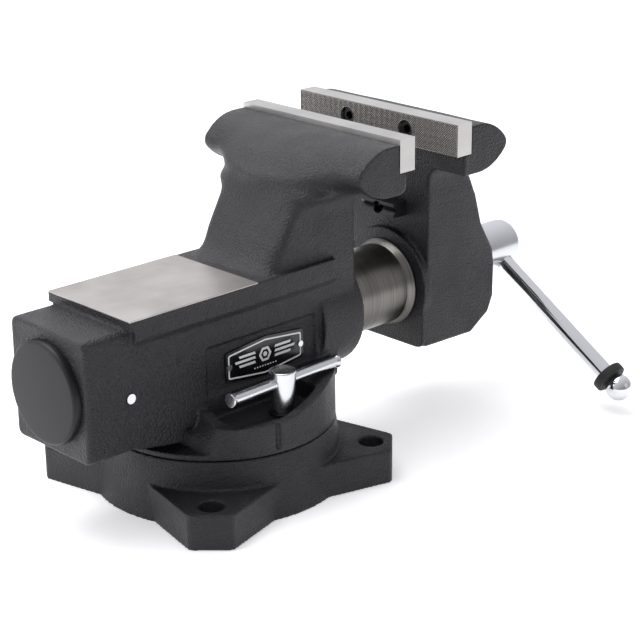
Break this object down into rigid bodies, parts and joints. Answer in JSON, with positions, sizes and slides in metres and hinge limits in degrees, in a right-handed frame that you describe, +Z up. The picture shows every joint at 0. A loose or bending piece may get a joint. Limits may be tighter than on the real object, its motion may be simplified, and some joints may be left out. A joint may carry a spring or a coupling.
{
  "type": "bench vise",
  "caption": "Bench vise with a round slide bar, swivel base with clamp bolts, serrated jaws, pipe jaws, ground anvil and sliding bar handle; screw, jaw and swivel all move.",
  "frame": {"origin": "centre of the four mounting bolts, on the bottom face of the swivel base", "axes": "+X along the screw from the body towards the screw head and handle, +Y away from the nameplate side, +Z up; the jaw faces are 152.4 mm wide along Y"},
  "size_m": [0.4312, 0.2296, 0.2276],
  "materials": {
    "black_casting": "satin, fine orange-peel texture",
    "jaw_steel": "ground",
    "dark_steel": "blackened",
    "cap_black": "smooth satin",
    "cast_iron": "machined",
    "bright_steel": "zinc plated, satin",
    "turned_steel": "turned",
    "plate_black": "gloss",
    "chrome": "polished",
    "rubber": "matte"
  },
  "bodies": {
    "base": {"base_casting": "black_casting"},
    "vise_body": {"static_jaw_casting": "black_casting", "static_jaw_insert": "jaw_steel", "static_jaw_screws": "dark_steel", "static_pipe_jaw": "dark_steel", "static_pipe_jaw_screw": "dark_steel", "end_cap": "cap_black", "lead_nut": "cast_iron", "nut_pins": "bright_steel", "slide_key": "dark_steel", "nameplate": "plate_black", "nameplate_rivets": "bright_steel", "clamp_shoes": "dark_steel", "lock_washers": "dark_steel"},
    "dynamic_jaw": {"dynamic_jaw_casting": "black_casting", "dynamic_jaw_insert": "jaw_steel", "dynamic_jaw_screws": "dark_steel", "dynamic_pipe_jaw": "dark_steel", "dynamic_pipe_jaw_screw": "dark_steel", "slide_bar": "turned_steel", "thrust_washer": "bright_steel"},
    "screw": {"lead_screw": "bright_steel", "thrust_collar": "bright_steel"},
    "handle": {"handle_bar": "chrome", "handle_balls": "chrome", "handle_rings": "rubber"},
    "lock_bolt_near": {"lock_bolt_near": "bright_steel"},
    "lock_bar_near": {"lock_bar_near": "bright_steel"},
    "lock_bolt_far": {"lock_bolt_far": "bright_steel"},
    "lock_bar_far": {"lock_bar_far": "bright_steel"}
  },
  "joints": [
    {"name": "swivel", "type": "hinge", "parent": "base", "child": "vise_body", "pos_m": [0, 0, 0.043], "axis": [0, 0, 1], "continuous": true},
    {"name": "jaw_slide", "type": "slide", "parent": "vise_body", "child": "dynamic_jaw", "axis": [1, 0, 0], "range_m": [-0.0402, 0.0995]},
    {"name": "screw_turn", "type": "hinge", "parent": "dynamic_jaw", "child": "screw", "pos_m": [0.274, 0, 0.0983], "axis": [1, 0, 0], "range_deg": [-5642.9, 2281.1]},
    {"name": "handle_slide", "type": "slide", "parent": "screw", "child": "handle", "axis": [0, -0.8462, -0.5329], "range_m": [-0.116, 0.0155]},
    {"name": "lock_turn_near", "type": "hinge", "parent": "vise_body", "child": "lock_bolt_near", "pos_m": [0.0034, -0.061, 0.061], "axis": [0, 0, 1], "range_deg": [-7, 7]},
    {"name": "lock_bar_slide_near", "type": "slide", "parent": "lock_bolt_near", "child": "lock_bar_near", "axis": [0.9997, 0.0244, 0], "range_m": [-0.037, 0.0335]},
    {"name": "lock_turn_far", "type": "hinge", "parent": "vise_body", "child": "lock_bolt_far", "pos_m": [0.0034, 0.061, 0.061], "axis": [0, 0, 1], "range_deg": [-7, 7]},
    {"name": "lock_bar_slide_far", "type": "slide", "parent": "lock_bolt_far", "child": "lock_bar_far", "axis": [0.9997, -0.0244, 0], "range_m": [-0.037, 0.0335]}
  ],
  "couplings": [
    {"joint": "screw_turn", "follows": "jaw_slide", "rad_per_m": -989.48}
  ]
}
